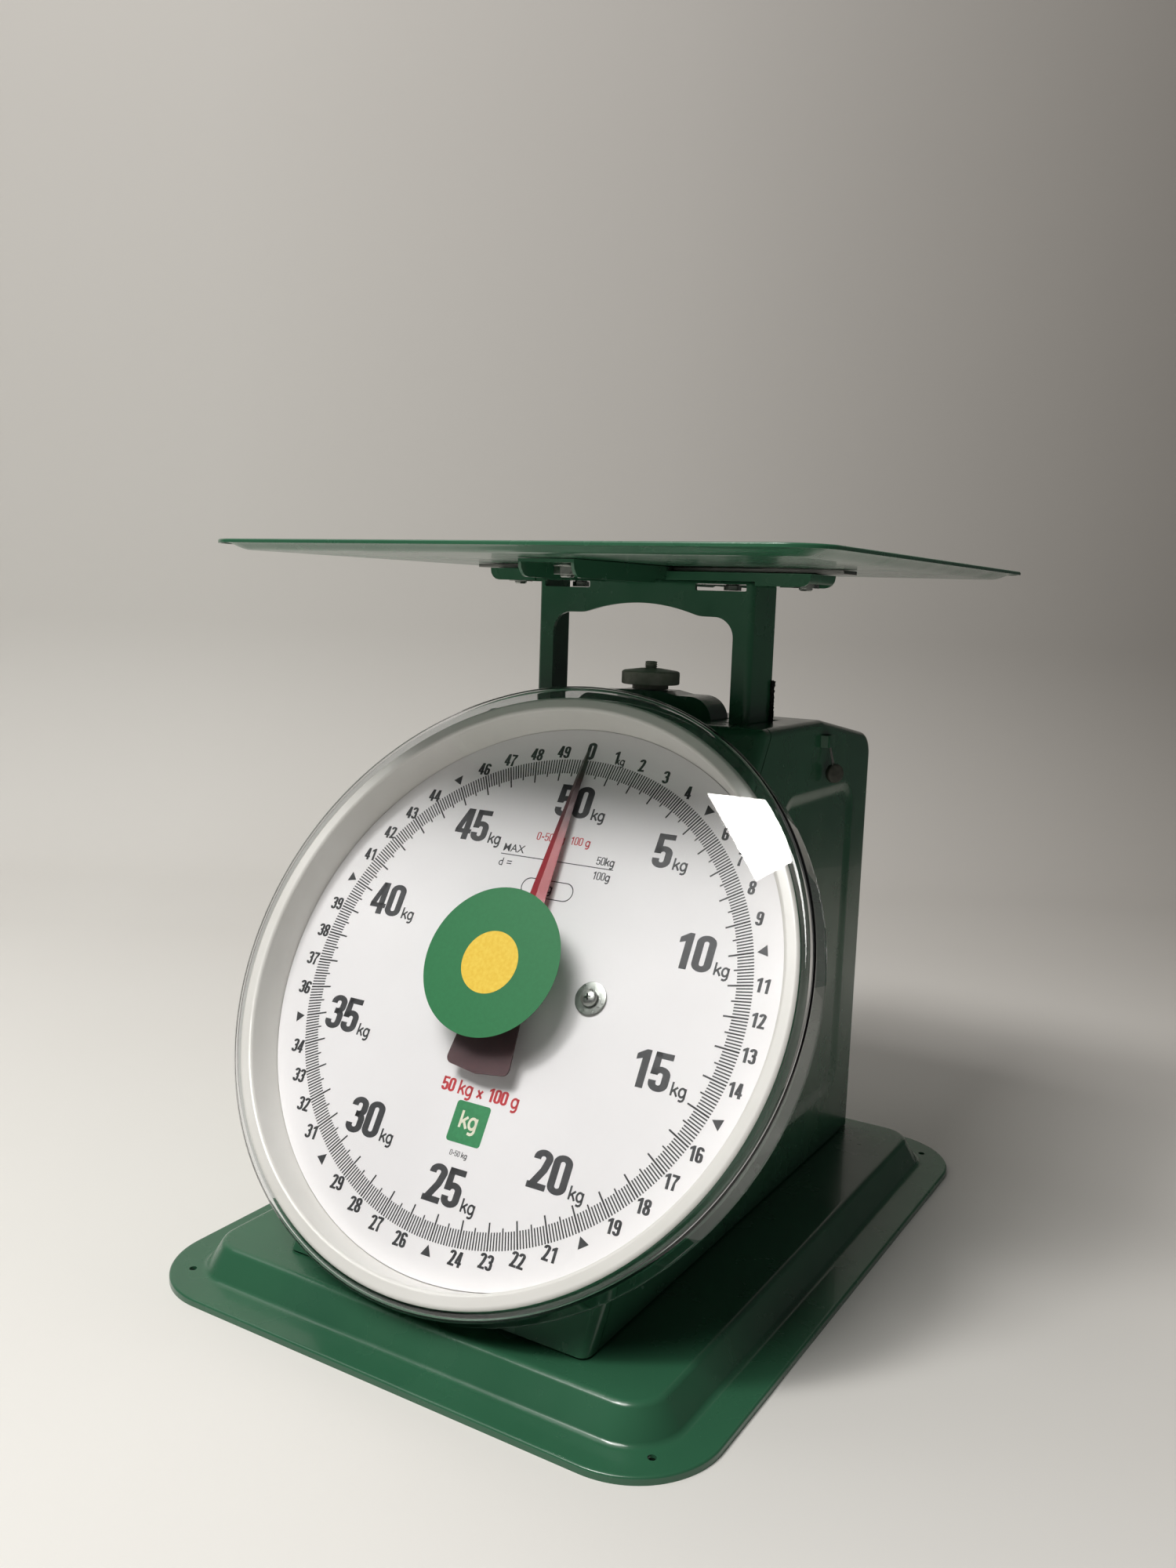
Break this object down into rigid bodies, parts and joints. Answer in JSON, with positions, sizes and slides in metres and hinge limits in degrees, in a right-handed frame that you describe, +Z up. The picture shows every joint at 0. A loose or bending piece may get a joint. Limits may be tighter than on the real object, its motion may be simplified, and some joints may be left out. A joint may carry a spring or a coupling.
{
  "type": "mechanical dial platform scale",
  "caption": "Spring platform scale: square pan on a yoke, leaning round dial behind a clear cover, and a pressed case on a flanged base; the pan sinks under load and turns the pointer.",
  "frame": {"origin": "middle of the base's lower edge plane, under the centre of the base plate", "axes": "+Z up, -Y towards the dial's side, +X to the right seen from the dial's side"},
  "size_m": [0.278, 0.334, 0.308],
  "materials": {
    "green_enamel": "gloss",
    "white_enamel": "satin",
    "clear_plastic": "gloss",
    "red_lacquer": "gloss",
    "brass": "satin",
    "dark_plating": "satin",
    "steel": "satin",
    "zinc_plate": "satin"
  },
  "bodies": {
    "base": {"base_plate": "green_enamel", "case_shell": "green_enamel", "front_panel": "green_enamel", "dial_bowl": "white_enamel", "dial_plate": "white_enamel", "clear_cover": "clear_plastic", "dial_post_left": "steel", "dial_post_right": "steel", "dial_washer_left": "zinc_plate", "dial_washer_right": "zinc_plate", "dial_screw_left": "zinc_plate", "dial_screw_right": "zinc_plate", "movement_bracket": "zinc_plate", "front_bearing": "brass", "main_frame": "green_enamel", "lever_pillar": "zinc_plate", "upper_pivot_rod": "steel", "lower_pivot_rod": "steel", "spring_left": "steel", "spring_right": "steel"},
    "platform": {"yoke": "green_enamel", "yoke_stud_upper_left": "steel", "yoke_stud_upper_right": "steel", "yoke_stud_lower_left": "steel", "yoke_stud_lower_right": "steel", "spring_crossbar": "steel", "crossbar_nut_left": "zinc_plate", "crossbar_nut_right": "zinc_plate", "rack": "brass", "rack_carrier": "zinc_plate", "carrier_screw_left": "zinc_plate", "carrier_screw_right": "zinc_plate", "rack_arm": "zinc_plate", "pan_cross": "green_enamel", "pan_strip_left": "steel", "pan_strip_right": "steel", "yoke_spacer_left": "zinc_plate", "yoke_spacer_right": "zinc_plate", "yoke_bolt_left": "zinc_plate", "yoke_bolt_right": "zinc_plate", "pan": "green_enamel", "pan_stud_front": "zinc_plate", "pan_stud_left": "zinc_plate", "pan_stud_rear": "zinc_plate", "pan_stud_right": "zinc_plate", "pan_nut_front": "zinc_plate", "pan_nut_left": "zinc_plate", "pan_nut_rear": "zinc_plate", "pan_nut_right": "zinc_plate"},
    "pointer": {"pinion_arbor": "brass", "pointer": "red_lacquer", "pointer_hub": "brass"},
    "upper_lever": {"upper_lever": "zinc_plate"},
    "lower_lever": {"lower_lever": "zinc_plate"},
    "zero_knob": {"zero_knob": "dark_plating"},
    "spring_hanger": {"zero_stud": "zinc_plate", "spring_hanger": "steel"}
  },
  "joints": [
    {"name": "platform_drop", "type": "slide", "parent": "base", "child": "platform", "axis": [0, 0, -1], "range_m": [0, 0.02346], "stiffness_N_per_m": 20900, "springref_m": -0.0008, "deforming": ["spring_left", "spring_right"]},
    {"name": "pointer_turn", "type": "hinge", "parent": "base", "child": "pointer", "pos_m": [0, -0.0762, 0.1284], "axis": [0, 0.8572, -0.515], "range_deg": [0, 361]},
    {"name": "upper_lever_swing", "type": "hinge", "parent": "base", "child": "upper_lever", "pos_m": [0, 0.10508, 0.18427], "axis": [1, 0, 0], "range_deg": [0, 18.1]},
    {"name": "lower_lever_swing", "type": "hinge", "parent": "base", "child": "lower_lever", "pos_m": [0, 0.10508, 0.07627], "axis": [1, 0, 0], "range_deg": [0, 18.1]},
    {"name": "zero_knob_turn", "type": "hinge", "parent": "base", "child": "zero_knob", "pos_m": [0, 0.031, 0.25], "axis": [0, 0, 1], "range_deg": [-722, 722]},
    {"name": "spring_hanger_lift", "type": "slide", "parent": "base", "child": "spring_hanger", "axis": [0, 0, 1], "range_m": [-0.002, 0.002], "deforming": ["spring_left", "spring_right"]}
  ],
  "couplings": [
    {"joint": "pointer_turn", "follows": "platform_drop", "rad_per_m": 267.86},
    {"joint": "upper_lever_swing", "follows": "platform_drop", "rad_per_m": 13.388},
    {"joint": "lower_lever_swing", "follows": "platform_drop", "rad_per_m": 13.388},
    {"joint": "zero_knob_turn", "follows": "spring_hanger_lift", "rad_per_m": 6283.2}
  ]
}
